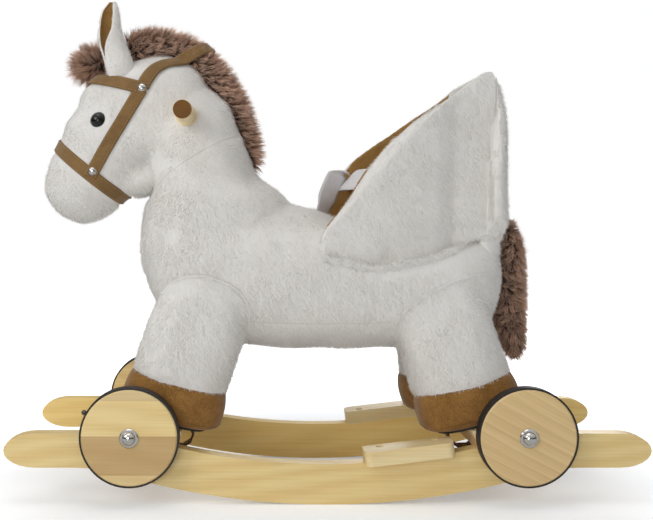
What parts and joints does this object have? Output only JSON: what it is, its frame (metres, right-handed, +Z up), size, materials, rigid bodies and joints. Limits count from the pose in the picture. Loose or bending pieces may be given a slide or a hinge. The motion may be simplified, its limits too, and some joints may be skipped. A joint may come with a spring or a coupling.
{
  "type": "ride-on rocking horse",
  "caption": "Plush horse with a padded bucket seat and hand bar, standing on wooden rockers with footrests, and spinning wooden wheels on axles under its hooves.",
  "frame": {"origin": "middle of the rockers, on the floor", "axes": "+X towards the nose, +Y to the horse's left, +Z up"},
  "size_m": [0.74, 0.2786, 0.5885],
  "materials": {
    "pine": "pale pine with a clear satin lacquer",
    "plywood": "raw plywood and batten, inside the plush",
    "steel": "zinc-plated steel",
    "chrome": "bright nickel plate",
    "tyre_rubber": "thin black rubber band",
    "black_sole": "black felt and foam sole",
    "red_strap": "dark red leathercloth",
    "brown_wood": "brown end disc",
    "hoof_suede": "tan suede cloth",
    "white_plush": "off-white short-pile plush",
    "tan_cloth": "tan suede cloth with stitched edges",
    "brown_fur": "brown long-pile curly fur",
    "eye_black": "glossy black safety eye",
    "webbing": "white woven webbing"
  },
  "bodies": {
    "root": {"rocker_left": "pine", "rocker_right": "pine", "footrest_left": "pine", "footrest_right": "pine", "cross_bar_front": "pine", "cross_bar_rear": "pine", "hoof_board_front": "pine", "hoof_board_rear": "pine", "handle": "pine", "leg_posts": "plywood", "spine_board": "plywood", "neck_board": "plywood", "back_board": "plywood", "wood_screws": "steel", "axle_front": "steel", "axle_rear": "steel", "axle_washers": "steel", "strap_studs": "steel", "axle_caps": "chrome", "rivets": "chrome", "hoof_soles": "black_sole", "strap_loop_front": "red_strap", "strap_loop_rear": "red_strap", "handle_discs": "brown_wood", "hoof_front_left": "hoof_suede", "hoof_front_right": "hoof_suede", "hoof_rear_left": "hoof_suede", "hoof_rear_right": "hoof_suede", "leg_front_left": "white_plush", "leg_front_right": "white_plush", "leg_rear_left": "white_plush", "leg_rear_right": "white_plush", "body": "white_plush", "neck": "white_plush", "head": "white_plush", "ear_left": "white_plush", "ear_right": "white_plush", "seat_wing_left": "white_plush", "seat_wing_right": "white_plush", "seat_back": "white_plush", "seat_lining": "tan_cloth", "seat_cushion": "tan_cloth", "noseband": "tan_cloth", "browband": "tan_cloth", "cheek_straps": "tan_cloth", "rein": "tan_cloth", "mane": "brown_fur", "forelock": "brown_fur", "tail": "brown_fur", "eyes": "eye_black", "waist_belt": "webbing", "crotch_strap": "webbing"},
    "wheel_front_left": {"wheel_front_left": "pine", "tyre_front_left": "tyre_rubber"},
    "wheel_front_right": {"wheel_front_right": "pine", "tyre_front_right": "tyre_rubber"},
    "wheel_rear_left": {"wheel_rear_left": "pine", "tyre_rear_left": "tyre_rubber"},
    "wheel_rear_right": {"wheel_rear_right": "pine", "tyre_rear_right": "tyre_rubber"}
  },
  "joints": [
    {"name": "front_left_wheel_spin", "type": "hinge", "parent": "root", "child": "wheel_front_left", "pos_m": [0.224, 0, 0.08041], "axis": [0, 1, 0], "continuous": true},
    {"name": "front_right_wheel_spin", "type": "hinge", "parent": "root", "child": "wheel_front_right", "pos_m": [0.224, 0, 0.08041], "axis": [0, 1, 0], "continuous": true},
    {"name": "rear_left_wheel_spin", "type": "hinge", "parent": "root", "child": "wheel_rear_left", "pos_m": [-0.224, 0, 0.08041], "axis": [0, 1, 0], "continuous": true},
    {"name": "rear_right_wheel_spin", "type": "hinge", "parent": "root", "child": "wheel_rear_right", "pos_m": [-0.224, 0, 0.08041], "axis": [0, 1, 0], "continuous": true}
  ]
}
